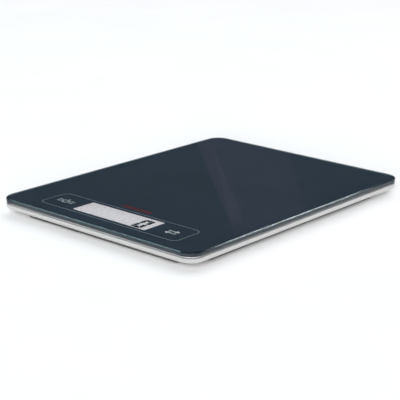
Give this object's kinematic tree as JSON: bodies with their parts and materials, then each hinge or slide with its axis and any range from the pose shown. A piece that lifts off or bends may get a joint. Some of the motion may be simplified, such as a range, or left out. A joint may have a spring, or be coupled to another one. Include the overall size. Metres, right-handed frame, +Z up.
{
  "type": "kitchen scale",
  "caption": "Flat digital kitchen scale: dark glass weighing plate bonded to a silver housing on sensing feet, with a display and touch keys along one short edge.",
  "frame": {"origin": "middle of the footprint, on the surface that the feet stand on", "axes": "+Z up; +Y from the display edge to the back, along the long side; +X to the right seen from the display edge"},
  "size_m": [0.23, 0.3, 0.017],
  "materials": {
    "glass_plate": "clear polished float glass with a faint green-blue tint, ground chamfers",
    "dark_print": "slate-navy print under the glass",
    "silver_plastic": "satin silver lacquer on moulded plastic",
    "grey_plastic": "fine-textured dark grey moulded plastic",
    "white_plastic": "moulded",
    "display": "reflective liquid crystal display",
    "rubber": "matt",
    "tape": "foam tape",
    "steel": "stamped sheet",
    "nickel": "nickel plate",
    "circuit_board": "solder mask",
    "chip": "moulded epoxy",
    "gauge_film": "polyimide film",
    "battery_skin": "printed sleeve",
    "red_wire": "insulation",
    "black_wire": "insulation",
    "white_wire": "insulation"
  },
  "bodies": {
    "housing": {"glass_plate": "glass_plate", "printed_film": "dark_print", "bonding_tape": "tape", "upper_housing": "silver_plastic", "base_cover": "grey_plastic", "battery_1": "battery_skin", "battery_2": "battery_skin", "battery_3": "battery_skin", "battery_spring_1": "nickel", "battery_spring_2": "nickel", "battery_spring_3": "nickel", "contact_plate_plus": "nickel", "contact_plate_minus": "nickel", "contact_bridge_left": "nickel", "contact_bridge_right": "nickel", "lcd_panel": "display", "lcd_holder": "white_plastic", "zebra_strip": "rubber", "main_board": "circuit_board", "controller_chip": "chip", "touch_pad_left": "rubber", "touch_pad_right": "rubber", "load_cell_front_left": "steel", "load_cell_front_right": "steel", "load_cell_rear_left": "steel", "load_cell_rear_right": "steel", "strain_gauge_front_left": "gauge_film", "strain_gauge_front_right": "gauge_film", "strain_gauge_rear_left": "gauge_film", "strain_gauge_rear_right": "gauge_film", "cell_wire_front_left": "white_wire", "cell_wire_front_right": "white_wire", "cell_wire_rear_left": "white_wire", "cell_wire_rear_right": "white_wire", "battery_wire_red": "red_wire", "battery_wire_black": "black_wire", "base_screw_1": "steel", "base_screw_2": "steel", "base_screw_3": "steel", "base_screw_4": "steel", "base_screw_5": "steel", "base_screw_6": "steel", "board_screw_1": "steel", "board_screw_2": "steel", "board_screw_3": "steel", "board_screw_4": "steel"},
    "sliding_cover": {"battery_cover": "grey_plastic"},
    "foot_front_left": {"foot_cup_front_left": "grey_plastic", "foot_pad_front_left": "rubber"},
    "foot_front_right": {"foot_cup_front_right": "grey_plastic", "foot_pad_front_right": "rubber"},
    "foot_rear_left": {"foot_cup_rear_left": "grey_plastic", "foot_pad_rear_left": "rubber"},
    "foot_rear_right": {"foot_cup_rear_right": "grey_plastic", "foot_pad_rear_right": "rubber"}
  },
  "joints": [
    {"name": "cover_slide", "type": "slide", "parent": "housing", "child": "sliding_cover", "axis": [0, 1, 0], "range_m": [0, 0.006]},
    {"name": "foot_front_left_press", "type": "slide", "parent": "housing", "child": "foot_front_left", "axis": [0, 0, 1], "range_m": [0, 0.0004], "stiffness_N_per_m": 225000},
    {"name": "foot_front_right_press", "type": "slide", "parent": "housing", "child": "foot_front_right", "axis": [0, 0, 1], "range_m": [0, 0.0004], "stiffness_N_per_m": 225000},
    {"name": "foot_rear_left_press", "type": "slide", "parent": "housing", "child": "foot_rear_left", "axis": [0, 0, 1], "range_m": [0, 0.0004], "stiffness_N_per_m": 225000},
    {"name": "foot_rear_right_press", "type": "slide", "parent": "housing", "child": "foot_rear_right", "axis": [0, 0, 1], "range_m": [0, 0.0004], "stiffness_N_per_m": 225000}
  ]
}
